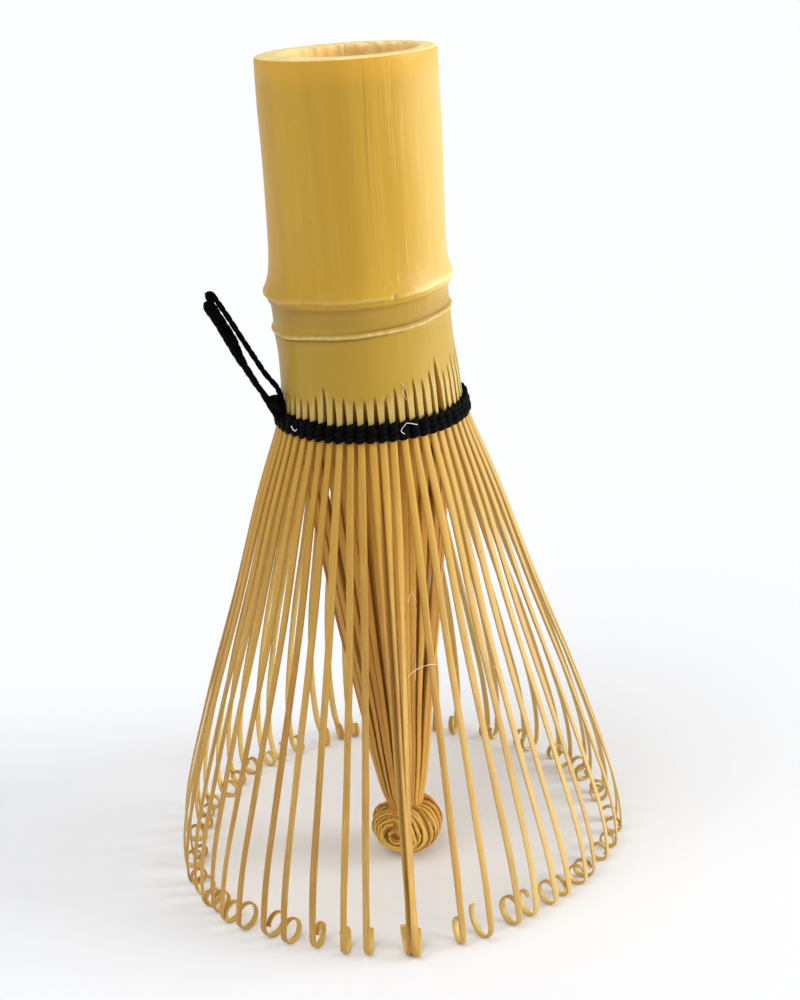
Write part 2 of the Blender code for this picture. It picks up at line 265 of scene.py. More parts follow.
def culmSkin():
    finish = Finish("culmSkin")
    bands = finish.noise(finish.coordinates(scale=(1, 1, 0.05)), 240, 2.0)
    fibres = finish.noise(finish.coordinates(scale=(1, 1, 0.025)), 2300, 4.0, 0.6)
    height, side = finish.axis("Z"), finish.axis("X")
    # the grain shows more on one side
    coarse = 0.18 + 0.82 * finish.between(side, 0.0005, 0.0045)
    lines = finish.noise(finish.coordinates(scale=(1, 0.2, 0.012)), 3400, 2.0)
    line = finish.between(side, 0.0014, 0.0019) * finish.between(side, 0.0031, 0.0025)
    line = line * finish.between(lines, 0.54, 0.60) * finish.between(height, 0.084, 0.10)
    hollowShade = finish.between(height, 0.0776, 0.0784) * finish.between(height, 0.0808, 0.0800)
    flecks = finish.between(finish.noise(finish.coordinates(scale=(1, 1, 0.4)), 1150, 1.0), 0.775, 0.80)
    skin = finish.layers(culmColours["deep"], culmColours, (
        (finish.between(bands, 0.36, 0.64), "gold"),
        (finish.between(fibres, 0.52, 0.72) * coarse * 0.55, "light"),
        (finish.between(fibres, 0.46, 0.28) * coarse * 0.55, "deep"),
        # a few dark lines run down from the rim
        (line * 0.5, "line"),
        # painted light: the right side is paler, where the light from the right falls
        (finish.between(side, 0.0060, 0.0114) * 0.52, "paintedRightLight"),
        # below the node the skin is greener
        (finish.between(height, 0.0815, 0.0775) * 0.75, "olive"),
        # painted shade in the hollow band between the node and the scar
        (hollowShade * 0.42, "hollowShade"),
        (flecks * 0.22, "fleck"),
        # an orange band where the sawn edge was rubbed
        (finish.between(height, 0.1062, 0.1090) * 0.5, "rubbed"),
        # pale lips and tine faces, with a painted highlight on the right end of the node's crest
        (finish.attribute("paleAndHighlight") * 0.7, "cream"),
        (finish.attribute("dark"), "scarEdge"),
        # painted shade: the sunk slits darken with their depth
        (finish.attribute("split"), "split")))
    rough = 0.36 + 0.16 * fibres + finish.attribute("split") * 0.3
    return finish.surface(skin, rough, fibres * coarse + bands, 0.00002, Specular_IOR_Level=0.30)


def culmCut():
    finish = Finish("culmCutEnd")
    place = finish.coordinates()
    bundles = finish.node("ShaderNodeTexVoronoi", {}, {
        "Vector": finish.coordinates(scale=(1, 1, 0)), "Scale": 1900}, "Distance")
    clouds = finish.noise(place, 320, 3.0)
    fibres = finish.noise(place, 2600, 3.0)
    cut = finish.layers(culmColours["pith"], culmColours, (
        (finish.between(clouds, 0.35, 0.65), "cream"),
        (finish.between(bundles, 0.26, 0.08) * 0.35, "bundle")))
    return finish.surface(cut, 0.62 + 0.2 * fibres, fibres + bundles, 0.00005, Specular_IOR_Level=0.3)


def culmBore():
    finish = Finish("culmBore")
    fibres = finish.noise(finish.coordinates(scale=(1, 1, 0.08)), 1500, 4.0, 0.6)
    clouds = finish.noise(finish.coordinates(), 180, 3.0)
    inside = finish.layers(culmColours["bore"], culmColours, (
        (finish.between(clouds, 0.35, 0.7), "boreLight"),
        (finish.between(fibres, 0.50, 0.3) * 0.12, "boreDark")))
    return finish.surface(inside, 0.6 + 0.2 * fibres, fibres, 0.00004, Specular_IOR_Level=0.3)


def stripFinish(name, roughness, colours):
    # split bamboo: the grain runs along the strip, and each strip has its own shade
    finish = Finish(name)
    fibres = finish.noise(finish.coordinates("UV", (1, 0.045, 1)), 5.0, 4.0, 0.6)
    shade = finish.noise(finish.coordinates("UV", (0.11, 0.012, 1)), 2.0, 1.0)
    blotches = finish.noise(finish.coordinates("UV", (0.5, 0.16, 1)), 1.3, 2.0)
    scars = finish.noise(finish.coordinates("UV", (1.4, 0.5, 1)), 2.2, 1.0)
    colours = {**colours, "paintedRightLight": (0.69, 0.565, 0.25), "scar": (0.22, 0.09, 0.015)}
    colour = finish.layers(colours["dark"], colours, (
        (finish.between(shade, 0.36, 0.64), "middle"),
        (finish.between(fibres, 0.45, 0.72) * 0.5, "light"),
        (finish.between(fibres, 0.50, 0.33) * 0.55, "dark"),
        (finish.between(blotches, 0.60, 0.78) * 0.4, "dark"),
        # the upper half is a deeper gold
        (finish.between(finish.axis("Z"), 0.030, 0.056) * (0.40 + 0.35 * fibres), "golden"),
        # painted light: the right side is paler, as on the culm
        (finish.between(finish.axis("X"), 0.004, 0.018) * 0.32, "paintedRightLight"),
        (finish.between(scars, 0.72, 0.78) * 0.5, "scar")))
    return finish.surface(colour, roughness + 0.2 * fibres, fibres, 0.00002, Specular_IOR_Level=0.45)


def threadFinish(name):
    finish = Finish(name)
    fuzz = finish.noise(finish.coordinates("UV", (1, 0.3, 1), radians(24)), 8.0, 4.0, 0.65)
    plies = finish.noise(finish.coordinates("UV", (0.6, 0.1, 1)), 3.0, 2.0)
    greys = {"deep": (0.0008,) * 3, "worn": (0.010,) * 3, "plain": (0.005,) * 3}
    colour = finish.layers(greys["deep"], greys, (
        (finish.between(fuzz, 0.50, 0.78), "worn"), (finish.between(plies, 0.55, 0.8) * 0.5, "plain")))
    return finish.surface(colour, 0.46 + 0.3 * fuzz, fuzz, 0.00014, Specular_IOR_Level=0.06)


def fibreFinish(name, dark, light):
    finish = Finish(name)
    shade = finish.noise(finish.coordinates(), 900, 2.0)
    return finish.surface(finish.mix(finish.between(shade, 0.35, 0.65), dark, light), 0.5 + 0.1 * shade)


finishes = {
    "culmSkin": culmSkin(),
    "culmCut": culmCut(),
    "culmBore": culmBore(),
    "tineSkin": stripFinish("tineSkin", 0.30, {
        "light": (0.86, 0.68, 0.27), "middle": (0.72, 0.50, 0.130),
        "dark": (0.58, 0.38, 0.075), "golden": (0.78, 0.48, 0.035)}),
    # painted shade: the split sides are darker copies of the skin
    "tineSideShaded": stripFinish("tineSplitSideShaded", 0.5, {
        "light": (0.68, 0.45, 0.13), "middle": (0.55, 0.32, 0.065),
        "dark": (0.42, 0.21, 0.032), "golden": (0.56, 0.30, 0.020)}),
    "innerSkin": stripFinish("innerTineSkin", 0.4, {
        "light": (0.88, 0.63, 0.17), "middle": (0.76, 0.48, 0.075),
        "dark": (0.58, 0.32, 0.036), "golden": (0.79, 0.46, 0.032)}),
    # painted shade: the inner strands' sides are darker copies of their skin
    "innerSideShaded": stripFinish("innerTineSideShaded", 0.55, {
        "light": (0.80, 0.50, 0.12), "middle": (0.66, 0.35, 0.055),
        "dark": (0.46, 0.20, 0.025), "golden": (0.62, 0.30, 0.018)}),
    "thread": threadFinish("blackThread"),
    "fibre": fibreFinish("whiteFibre", (0.75, 0.74, 0.72), (0.97, 0.97, 0.96)),
    "shaving": fibreFinish("paleShaving", (0.80, 0.62, 0.30), (0.95, 0.84, 0.56)),
}
print("materials made")


# Long pieces: a grid is rolled up and laid along a route


def framesAlong(route, reference, closed):
    # an across and an outward direction at each point, carried on where no reference is given
    last = len(route) - 1
    frames, across = [], Vector((0.31, 0.95, 0.05))
    for number, point in enumerate(route):
        before = route[number - 1] if closed or number else point
        after = route[(number + 1) % len(route)] if closed or number < last else point
        forward = (after - before).normalized()
        wanted = across if reference is None else reference
        if isinstance(reference, list):
            wanted = reference[number]
        across = (wanted - forward * wanted.dot(forward)).normalized()
        frames.append((across, across.cross(forward).normalized()))
    return frames


def layAlong(name, route, section, sizes, finishNames, reference=None, turns=None, closed=False, sides=(0,),
             grain=(0, 0)):
    # sides gives the finish of each of the section's sides
    columns, rows = len(section), len(route) - (0 if closed else 1)
    bpy.ops.mesh.primitive_grid_add(x_subdivisions=columns, y_subdivisions=rows, size=1)
    piece = bpy.context.object
    piece.name = name
    mesh = piece.data
    for used in finishNames:
        mesh.materials.append(finishes[used])
    frames = framesAlong(route, reference, closed)
    edge = [0.0]
    for here in range(columns):
        first, second = section[here], section[(here + 1) % columns]
        edge.append(edge[-1] + dist(first, second) * sizes[0][0])
    run = distances(route + route[:1])
    for polygon in mesh.polygons:
        column = roundDown((polygon.center.x + 0.5) * columns)
        polygon.material_index = sides[column % len(sides)]
    # the grain's own measure is the millimetre, across and along the strip
    for spot in mesh.uv_layers[0].uv:
        column, row = round(spot.vector.x * columns), round(spot.vector.y * rows)
        spot.vector = (edge[column] / mm + grain[0], run[row] / mm + grain[1])
    for vertex in mesh.vertices:
        column = round((vertex.co.x + 0.5) * columns) % columns
        row = round((vertex.co.y + 0.5) * rows) % len(route)
        across, outward = frames[row]
        x, y = section[column]
        x, y = x * sizes[row][0], y * sizes[row][1]
        if turns is not None:
            x, y = (x * cos(turns[row]) - y * sin(turns[row]),
                    x * sin(turns[row]) + y * cos(turns[row]))
        vertex.co = route[row] + across * x + outward * y
    bpy.ops.object.mode_set(mode="EDIT")
    bpy.ops.mesh.select_all(action="SELECT")
    bpy.ops.mesh.remove_doubles(threshold=1e-7)
    if not closed:
        bpy.ops.mesh.select_all(action="DESELECT")
        bpy.ops.mesh.select_mode(type="EDGE")
        bpy.ops.mesh.select_non_manifold(extend=False)
        bpy.ops.mesh.fill_holes(sides=0)
        bpy.ops.mesh.select_mode(type="VERT")
    bpy.ops.mesh.select_all(action="SELECT")
    bpy.ops.mesh.normals_make_consistent(inside=False)
    bpy.ops.object.mode_set(mode="OBJECT")
    return piece


def pick(pieces):
    bpy.ops.object.select_all(action="DESELECT")
    for piece in pieces:
        piece.select_set(True)
    bpy.context.view_layer.objects.active = pieces[0]


def joinAs(name, pieces):
    pick(pieces)
    bpy.ops.object.join()
    pieces[0].name = name
    return pieces[0]


def anyGrain(chance):
    # each strip is cut from another place of the grain
    return chance.uniform(0, 900), chance.uniform(0, 900)


def finishPiece(piece, sharpAngle):
    pick([piece])
    bpy.ops.object.transform_apply(location=True, rotation=True, scale=True)
    bpy.ops.object.shade_smooth_by_angle(angle=radians(sharpAngle))
    return piece


# Thread loop: the free tail of the binding thread

loopSettings = {
    "diameter": 0.65 * mm,
    "knotAngle": radians(200),
    "knotRadius": 13.4 * mm,
    "knotHeight": 67.7 * mm,
    "length": 0.0557,
    "plyTurn": 1.5 * mm,
}

loopSize = (loopSettings["diameter"] * 1.14,) * 2  # across its two plies

# middle line of the thread from end to end, in millimetres from the middle of the knot
loopRoute = [
    (0.62, 0.58, 1.50), (-0.09, 0.58, 2.48), (-0.82, 0.58, 3.57), (-2.00, 0.58, 5.81),
    (-3.20, 0.58, 8.11), (-4.75, 0.58, 11.15), (-5.85, 0.58, 13.14), (-6.37, 0.58, 14.01),
    (-6.74, 0.58, 14.24), (-6.99, 0.58, 13.96), (-6.48, 0.58, 12.82), (-5.69, 0.58, 11.19),
    (-4.25, 0.58, 8.30), (-3.70, 0.58, 6.45), (-3.08, 0.58, 4.56), (-2.32, 0.58, 2.96),
    (-1.88, 0.58, 1.98), (-1.58, 0.45, 1.52), (-1.48, 0.20, 1.38), (-1.62, -0.06, 1.62),
    (-2.06, -0.14, 2.42), (-3.10, -0.14, 4.41), (-4.11, -0.14, 6.65), (-5.04, -0.14, 8.99),
    (-6.05, -0.14, 11.44), (-6.59, -0.14, 12.52), (-6.90, -0.28, 13.01), (-7.11, -0.52, 13.12),
    (-7.19, -0.76, 12.83), (-6.85, -0.86, 12.15), (-5.98, -0.86, 10.55), (-4.79, -0.86, 7.97),
    (-3.69, -0.86, 5.70), (-2.44, -0.80, 3.65), (-1.67, -0.74, 2.21), (-1.31, -0.72, 1.40),
]

# two plies pressed together
plySection = [(0.50, 0), (0.46, 0.24), (0.26, 0.40), (0, 0.34), (-0.26, 0.40), (-0.46, 0.24),
              (-0.50, 0), (-0.46, -0.24), (-0.26, -0.40), (0, -0.34), (0.26, -0.40), (0.46, -0.24)]


def knotCentre():
    return atAngle(loopSettings["knotAngle"], loopSettings["knotRadius"], loopSettings["knotHeight"])


def fromKnot(points, spacing):
    return smoothRoute([knotCentre() + Vector(point) * mm for point in points], spacing)


def plyTurns(route):
    return [pi * run / loopSettings["plyTurn"] for run in distances(route)]


def makeLoop():
    route = fromKnot(loopRoute, 0.24 * mm)
    loop = finishPiece(layAlong("threadLoop", route, plySection, [loopSize] * len(route), ("thread",),
                               turns=plyTurns(route)), 60)
    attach(loop, "handle")
    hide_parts("thread_loop")


makeLoop()
print("thread loop made")


# Culm: the handle with its node, its scar and the tops of the splits

culmSettings = {
    "boreShift": 0.7 * mm,
    "nodeLean": 0.042,
    "scarLean": 0.075,
    "splitDepth": 1.3 * mm,
    "splitHalfGap": 0.235,  # of a pitch, at the thread
    "splitTop": 69.5 * mm,
    "splitFoot": 65.6,
    "wideSplit": 49,
    "longSplit": 37,
    "columns": 8,  # of the mesh, for each tine
    "boreFloor": 81.9,
    "endHeight": 109.9,
    "nodeHeight": 81.4,
    "scarHeight": 77.0,
}

# rings of the mesh from the septum up the bore, over the sawn end and down the skin to the
# thread, and up again inside: height and radius in millimetres
boreRows = [(82, 7.9), (86, 7.9), (92, 7.9), (99, 7.9), (105, 7.9), (108, 7.9), (109.3, 7.92),
            (109.75, 8), (109.95, 8.15)]
endRows = [(110, 8.5), (110, 9.2), (110, 10), (110, 10.8), (109.97, 11.05)]
skinRows = [
    (109.88, 11.2), (109.7, 11.28), (109.4, 11.3), (108.6, 11.3), (107, 11.3), (104, 11.3),
    (100, 11.3), (96, 11.29), (92, 11.28), (89, 11.29), (87, 11.32), (85.5, 11.38),
    (84.3, 11.48), (83.4, 11.62), (82.7, 11.82), (82.2, 11.99), (81.85, 12.12), (81.6, 12.24),
    (81.46, 12.29), (81.33, 12.22), (81.15, 11.98), (80.95, 11.86), (80.7, 11.82), (80.5, 11.77),
    (80.35, 11.62), (80.15, 11.5), (79.6, 11.42), (79, 11.38), (78.4, 11.37), (77.9, 11.38),
    (77.55, 11.4), (77.42, 11.37), (77.3, 11.42), (77.2, 11.58), (77.1, 11.69), (76.98, 11.72),
    (76.88, 11.67), (76.78, 11.48), (76.66, 11.37), (76.48, 11.42), (76.2, 11.42), (75.6, 11.4),
    (74.6, 11.4), (73.6, 11.41), (72.9, 11.43), (72.3, 11.46), (71.8, 11.49), (71.4, 11.52),
    (71, 11.55), (70.6, 11.58), (70.2, 11.61), (69.8, 11.64), (69.4, 11.67), (69, 11.7),
    (68.6, 11.73), (68.2, 11.76), (67.8, 11.8), (67.4, 11.83), (67, 11.87), (66.6, 11.91),
    (66.2, 11.95), (65.8, 12), (65.3, 12.06),
]
hollowRows = [(65.3, 9.9), (66.8, 9.8), (70, 8.9), (74, 8.4), (79.0, 8.3)]

# how far the middle of the culm lies to the right of the axis, height and distance
culmBend = [(110, -0.1), (100, -0.15), (90, -0.3), (85, -0.42), (81.4, -0.6), (77, -0.5), (75, -0.42),
            (72, -0.2), (69, 0), (64, 0)]


def nodeLean(height):
    # how far the rings of the node lean, per metre across the culm
    node, scar = culmSettings["nodeHeight"], culmSettings["scarHeight"]
    if height > node:
        return culmSettings["nodeLean"] * (1 - easeShare((height - node) / 6))
    if height > scar:
        return along(culmSettings["scarLean"], culmSettings["nodeLean"], (height - scar) / (node - scar))
    return culmSettings["scarLean"] * (1 - easeShare((scar - height) / 4))


def addRing(height, radius, before):
    # one more ring on the selected edge loop
    bpy.ops.mesh.extrude_region_move(TRANSFORM_OT_translate={"value": (0, 0, (height - before[0]) * mm)})
    ratio = radius / before[1]
    bpy.ops.transform.resize(value=(ratio, ratio, 1), center_override=(0, 0, height * mm))


def wave(angle, height, seed):
    # a slow wobble round the culm, from -1 to 1
    return noise.noise(Vector((cos(angle) * 1.6 + seed, sin(angle) * 1.6, height * 0.12)))


def splitTops():
    # the splits run higher on the right, and one there is deep and wide
    chance = random.Random(11)
    tops = {}
    for number in range(tineCount):
        side = sin((number + 0.5 - frontPlace) * pitch - 0.2)
        rise = 2.5 * side if side > 0 else 1.2 * side
        tops[number] = culmSettings["splitTop"] + (rise + chance.uniform(-0.5, 0.7)) * mm
    tops[culmSettings["wideSplit"]] = 72.6 * mm
    tops[culmSettings["longSplit"]] = 70.6 * mm
    return tops


def makeCulm():
    rows = boreRows + endRows + skinRows + hollowRows
    bpy.ops.mesh.primitive_circle_add(
        vertices=culmSettings["columns"] * tineCount, radius=rows[0][1] * mm, fill_type="TRIFAN",
        location=(0, 0, rows[0][0] * mm))
    culm = bpy.context.object
    culm.name = "culm"
    for used in ("culmSkin", "culmCut", "culmBore"):
        culm.data.materials.append(finishes[used])
    bpy.ops.object.transform_apply(location=True)
    bpy.ops.object.mode_set(mode="EDIT")
    bpy.ops.mesh.select_mode(type="EDGE")
    bpy.ops.mesh.select_all(action="DESELECT")
    bpy.ops.mesh.select_non_manifold(extend=False)
    for before, (height, radius) in zip(rows, rows[1:]):
        addRing(height, radius, before)
    bpy.ops.mesh.extrude_region_move(TRANSFORM_OT_translate={"value": (0, 0, 0)})
    bpy.ops.mesh.merge(type="CENTER")
    bpy.ops.mesh.select_mode(type="VERT")
    bpy.ops.object.mode_set(mode="OBJECT")
    shapeCulm(culm.data)
    bpy.ops.object.mode_set(mode="EDIT")
    bpy.ops.mesh.select_all(action="SELECT")
    bpy.ops.mesh.normals_make_consistent(inside=False)
    bpy.ops.object.mode_set(mode="OBJECT")
    finishPiece(culm, 50)
    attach(culm, "handle")
    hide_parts("handle")


def shapeCulm(mesh):
    marks = {name: mesh.attributes.new(name, "FLOAT", "POINT") for name in ("split", "paleAndHighlight", "dark")}
    tops = splitTops()
    boreFloor, endHeight = culmSettings["boreFloor"] * mm, culmSettings["endHeight"] * mm
    for face in mesh.polygons:
        radius = hypot(face.center.x, face.center.y)
        if face.center.z > boreFloor and radius < 8.3 * mm:
            face.material_index = 2
        elif face.center.z > endHeight and radius < 11.15 * mm:
            face.material_index = 1
        elif radius < 10.9 * mm:
            face.material_index = 2
    for vertex in mesh.vertices:
        x, y, height = vertex.co
        radius, angle = hypot(x, y), atan2(y, x)
        if radius < 0.1 * mm:
            continue
        if radius < 9.0 * mm and height > boreFloor:
            shapeBore(vertex, angle, radius)
        elif height > endHeight:
            vertex.co.z += noise.noise(vertex.co * 700) * 0.05 * mm
            vertex.co.x += readTable(culmBend, 110) * mm
        elif radius > 11.0 * mm:
            shapeSkin(vertex, angle, radius, tops, marks)


def shapeBore(vertex, angle, radius):
    # the bore sits off the middle, and its edge at the back is torn
    edge = max(0.0, (vertex.co.z / mm - 107.5) / 2.5)
    back = easeShare((sin(angle) + 0.35) / 0.9)
    torn = roundNoise(angle, 9, 0.3)
    ripple = edge * (0.10 + back * 0.90) * (torn * 0.42 + roundNoise(angle, 26, 1.3) * 0.12)
    change = (wave(angle, 0, 4.0) * 0.18 + ripple) * mm
    scale = (radius + change) / radius
    vertex.co.x = vertex.co.x * scale + culmSettings["boreShift"]
    vertex.co.y = vertex.co.y * scale
    vertex.co.z -= edge * back * max(0.0, torn + 0.1) * 0.45 * mm
    vertex.co.x += readTable(culmBend, vertex.co.z / mm) * mm


def shapeSkin(vertex, angle, radius, tops, marks):
    height = vertex.co.z / mm
    side = cos(angle)
    bump, lip = bell(height, 81.3, 1.4), bell(height, 77.0, 0.45)
    notch = bell(angle, frontAngle + radians(22), 0.022) * bell(height, 81.5, 0.35)
    radius += (wave(angle, height, 0.0) * 0.10 + bump * wave(angle * 3, 0, 7.0) * 0.10 - notch * 0.35) * mm
    radius += lip * roundNoise(angle, 7, 5) * 0.12 * mm
    lift = (bump + lip) * wave(angle, 0, 9.0) * 0.35 * mm
    lift += (bump * 0.10 + lip * 0.07) * roundNoise(angle, 8, 2) * mm
    lipPale = max(0.0, bell(height, 77.0, 0.22) * (0.62 + 0.5 * roundNoise(angle, 15, 3)))
    # painted highlight: the crest is paler at its right end, which faces the light
    crestHighlight = bell(height, 81.6, 0.45) * easeShare((side - 0.45) / 0.4)
    palenessAndHighlight = lipPale + 0.25 * bell(height, 81.45, 0.2) + crestHighlight * 0.8
    # the crack of the scar shows above it on the right and below it on the left
    above = bell(height, 77.45, 0.10) * easeShare(side * 1.2 + 0.6)
    below = bell(height, 76.62, 0.10) * easeShare(0.75 - side * 1.2)
    under = bell(height, 80.3, 0.25) * 0.25
    marks["dark"].data[vertex.index].value = min(1.0, above * 0.85 + below * 0.85 + under)
    # columns of the mesh are gathered at the lips of each split and those between are sunk
    number = roundDown(angle / pitch)
    middle = (number + 0.5) * pitch
    top = tops[number % tineCount] / mm
    aside = (angle - middle) / pitch
    step = round(abs(aside) * culmSettings["columns"])
    wide = 1.9 if number % tineCount == culmSettings["wideSplit"] else 1.0
    opened = min(max((top - height) / (top - culmSettings["splitFoot"]), 0.0), 1.15)
    gap = culmSettings["splitHalfGap"] * wide * opened ** 0.36
    closing = easeShare((height - top) / 1.2)
    if step == 2:
        aside = copysign(gap + along(0.008, 0.24, closing), aside)
    elif step == 1:
        aside = copysign(gap * 0.82 + along(0.004, 0.12, closing), aside)
    elif step == 3:
        aside = copysign(0.25 + gap * 0.5 + 0.125, aside)
    if step < 2:
        sunk = min(1.0, opened ** 0.8)
        radius -= sunk * culmSettings["splitDepth"]
        # the depth also darkens the slit in the finish, as painted shade
        marks["split"].data[vertex.index].value = min(1.0, sunk * 1.6)
    else:
        palenessAndHighlight += 0.30 * easeShare(opened * 2.2)
    marks["paleAndHighlight"].data[vertex.index].value = palenessAndHighlight
    angle = middle + aside * pitch
    vertex.co.x = radius * cos(angle)
    vertex.co.y = radius * sin(angle)
    vertex.co.z += nodeLean(height) * vertex.co.x + lift
    vertex.co.x += readTable(culmBend, height) * mm


makeCulm()
print("culm made")


# Outer tines

tineSettings = {
    "width": 0.90 * mm,
    "rootThickness": 0.60 * mm,
    "tipThickness": 0.30 * mm,
    "curlRadius": 1.75 * mm,
}

# outer surface of the cage, height and radius
cageProfile = [
    (66, 12.0), (65.3, 12.06), (64.0, 12.4), (62, 13.05), (58, 14.6), (54, 16.1), (50, 17.45), (42, 19.95),
    (35, 22.4), (28, 24.9), (21, 27.2), (16, 28.75), (12, 29.95), (9, 30.7), (6, 31.25), (3.4, 31.55)]

# where each tine near the front goes, counted from the one at the middle: place of its tip in
# pitches, how far it has moved round half-way down, radius of its lowest point, size and turn of its curl
frontTines = {
    -12: (-12.1, -0.05, 30.5, 0.68, 380), -11: (-10.9, 0.0, 30.8, 0.70, 400),
    -10: (-10.0, -0.05, 30.6, 0.74, 390), -9: (-9.14, -0.15, 30.9, 0.72, 420),
    -8: (-8.45, -0.35, 30.5, 0.78, 400), -7: (-7.69, -0.13, 30.8, 0.84, 375),
    -6: (-6.79, -0.18, 30.3, 1.0, 360), -5: (-5.71, -0.21, 29.5, 1.0, 350),
    -4: (-4.76, -0.34, 29.6, 0.95, 335), -3: (-3.61, -0.27, 29.1, 0.9, 330),
    -2: (-2.34, -0.04, 29.4, 0.95, 300), -1: (-1.46, -0.20, 29.3, 0.95, 270),
    0: (0.17, 0.12, 29.3, 1.08, 240), 1: (0.34, -0.56, 30.1, 1.0, 255),
    2: (0.37, -1.28, 29.5, 0.95, 265), 3: (2.17, -0.69, 28.8, 1.0, 280),
    4: (3.24, -0.66, 28.6, 1.45, 205), 5: (4.61, -0.51, 28.3, 1.1, 330),
    6: (5.49, -0.53, 28.1, 1.05, 300), 7: (6.62, -0.81, 28.2, 0.95, 310),
    8: (7.48, -0.99, 28.4, 0.80, 380), 9: (8.55, -0.69, 28.8, 0.78, 330),
    10: (9.25, -0.90, 28.9, 0.80, 350), 11: (10.5, -0.6, 29.5, 0.70, 400),
    12: (11.6, -0.4, 30.1, 0.66, 420), 13: (12.7, -0.2, 30.5, 0.66, 380),
}
# curls that lie well out of the plane of their tine
leaningCurls = {0: 8, 4: 4}
# the three that lean together are turned on edge
rolledTines = {0: 48, 1: 55, 2: 50}

stripSection = [(-0.29, 0.5), (0.29, 0.5), (0.5, 0.16), (0.5, -0.30), (0.34, -0.5), (-0.34, -0.5),
                (-0.5, -0.30), (-0.5, 0.16)]
stripSides = [0, 0, 1, 1, 1, 1, 1, 0]


def anyTine(number, chance):
    # those at the sides curl tighter, and those at the back sag to one side half-way down
    atSide = abs(number) < 21
    sag = sqrt(max(0.0, sin(pi * (abs(number) - 12) / 17)))
    return (number + chance.uniform(-0.32, 0.32),
            (0.55 if number < 0 else -0.2) * sag + chance.uniform(-0.08, 0.08),
            chance.uniform(29.2, 30.3),
            chance.uniform(0.55, 0.72) if atSide else chance.uniform(0.62, 0.95),
            chance.uniform(300, 420) if atSide else chance.uniform(210, 330))


def tineRoute(number, chance):
    tip, halfWay, lowest, curl, turn = frontTines.get(number, anyTine(number, chance))
    curlRadius = tineSettings["curlRadius"] * curl
    reach = lowest * mm + curlRadius
    bow = chance.uniform(-0.12, 0.2) * mm
    straight = []
    for height in (tineStart, 64.4, 63.2, 61, 57, 52, 46, 40, 34, 28, 22, 17, 13, 10, 7.6, 5.6, 4.0):
        share = (tineStart - height) / tineStart
        moved = halfWay * 4 * share * (1 - share) + (tip - number) * share * (2 * share - 1)
        angle = frontAngle + pitch * (number + moved)
        radius = readTable(cageProfile, height) * mm
        radius += (reach - cageProfile[-1][1] * mm) * share + bow * sin(pi * share)
        radius -= along(tineSettings["rootThickness"], tineSettings["tipThickness"], share) / 2
        straight.append(atAngle(angle, radius, height * mm))
    outward = atAngle(frontAngle + pitch * tip)
    sideways = Vector((-outward.y, outward.x, 0))
    lean = radians(leaningCurls.get(number, chance.uniform(-10, 10)))
    inPlane = outward * cos(lean) + sideways * sin(lean)
    # half of the strip's thickness lies outside and below its middle line
    centre = outward * (reach - 0.15 * mm) - inPlane * curlRadius + Vector((0, 0, curlRadius + 0.16 * mm))
    tightening = chance.uniform(0.10, 0.24) if turn > 325 else chance.uniform(0.22, 0.4)
    drift = chance.uniform(0.3, 0.5) * mm * (1 if number % 2 else -1)
    curled = []
    steps = round(turn / 19)
    for step in range(steps + 1):
        turned = radians(turn) * step / steps
        radius = curlRadius * (1 - tightening * max(0.0, turned - 2.2) / 3.5)
        around = inPlane * cos(turned) - Vector((0, 0, sin(turned)))
        curled.append(centre + around * radius + sideways * drift * turned / 5)
    return smoothRoute(straight + curled[:1], 2.1 * mm) + curled[1:], sideways


def makeTine(number, chance):
    route, sideways = tineRoute(number, chance)
    width = tineSettings["width"] * chance.uniform(0.94, 1.05)
    narrowing = 0.04 if number in rolledTines else 0.22
    sizes, turns = [], []
    for share in routeShares(route):
        swell = 1 + 0.04 * sin(share * 23 + number) + 0.14 * sin(pi * min(1, share / 0.45))
        thickness = along(tineSettings["rootThickness"], tineSettings["tipThickness"], min(1, share * 1.25))
        sizes.append((width * swell * (1 - narrowing * easeShare((share - 0.86) / 0.14)), thickness))
        roll = radians(rolledTines.get(number, 0)) * easeShare(share / 0.35)
        roll *= 1 - easeShare((share - 0.8) / 0.12)
        turns.append(roll + radians(3) * sin(share * 9 + number * 2))
    return layAlong("strip", route, stripSection, sizes, ("tineSkin", "tineSideShaded"), reference=sideways,
                    turns=turns, sides=stripSides, grain=anyGrain(chance))


def makeOuterTines():
    for group in range(tineCount // groupSize):
        chance = random.Random(100 + group)
        strips = []
        for member in range(groupSize):
            number = groupSize * group + member - frontPlace
            strips.append(makeTine(number + tineCount if number < -tineCount // 2 else number, chance))
        piece = finishPiece(joinAs(f"outerTines{group + 1:02d}", strips), 58)
        node = f"outer_tines_{group + 1:02d}"
        aim = atAngle(pitch * (groupSize * group + 1.5))
        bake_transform(piece)
        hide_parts(node)


makeOuterTines()
print("outer tines made")


# Inner tines and the bun that their ends are wound into

innerSettings = {
    "rootSize": (1.26 * mm, 0.50 * mm),
    "waistSize": (0.64 * mm, 0.40 * mm),
    "tipSize": (0.42 * mm, 0.28 * mm),
    "waistShare": 0.62,  # of the way from the root to the strand's end
    "bunTop": 9.3,
    "bunCentre": Vector((0.78, -5.0, 4.42)) * mm,
    "bunRadii": Vector((5.0, 5.0, 4.25)) * mm,
    "bunPole": Vector((-0.35, -0.92, 0.05)),  # the strands circle round this side
    "twist": -0.06,  # of the waist
}

# outer surface of the bundle, height and radius
bundleProfile = [(65.3, 10.3), (60, 10.0), (50, 9.1), (44, 8.35), (37.5, 7.6), (28, 6.0), (22, 5.1),
                 (15, 4.15), (11, 3.4), (8.4, 2.8)]

# each strand's place at the waist, as a share of half its sector, and its layer
strandPlaces = [(-0.86, 0), (-0.58, 1), (-0.29, 0), (0.0, 2), (0.29, 0), (0.58, 1), (0.86, 0)]


